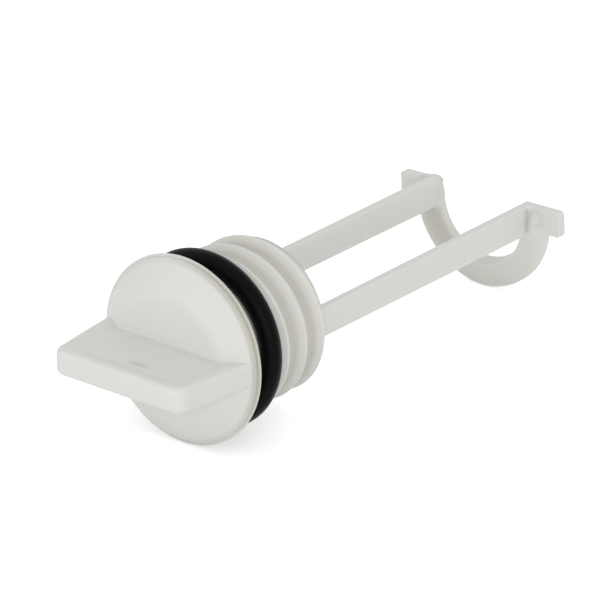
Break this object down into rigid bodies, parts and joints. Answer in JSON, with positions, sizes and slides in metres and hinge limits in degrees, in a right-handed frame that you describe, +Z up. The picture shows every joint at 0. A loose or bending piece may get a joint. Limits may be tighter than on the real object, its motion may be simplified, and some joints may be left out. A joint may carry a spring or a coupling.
{
  "type": "drain plug",
  "caption": "White screw-in drain plug with flat wing handle, black sealing ring, coarse thread and two long spring arms ending in a half-ring retaining clip.",
  "frame": {"origin": "centre of the plug's extent on the surface that it lies on", "axes": "+X from the wing handle towards the clip, +Y to the far arm, +Z up; the plug's own axis dips by 1.8 degrees towards the clip"},
  "size_m": [0.0962, 0.0346, 0.0335],
  "materials": {
    "white_nylon": "fine satin moulded skin",
    "black_rubber": "smooth, slightly oily"
  },
  "bodies": {
    "root": {"plug_body": "white_nylon", "o_ring": "black_rubber"}
  },
  "joints": []
}
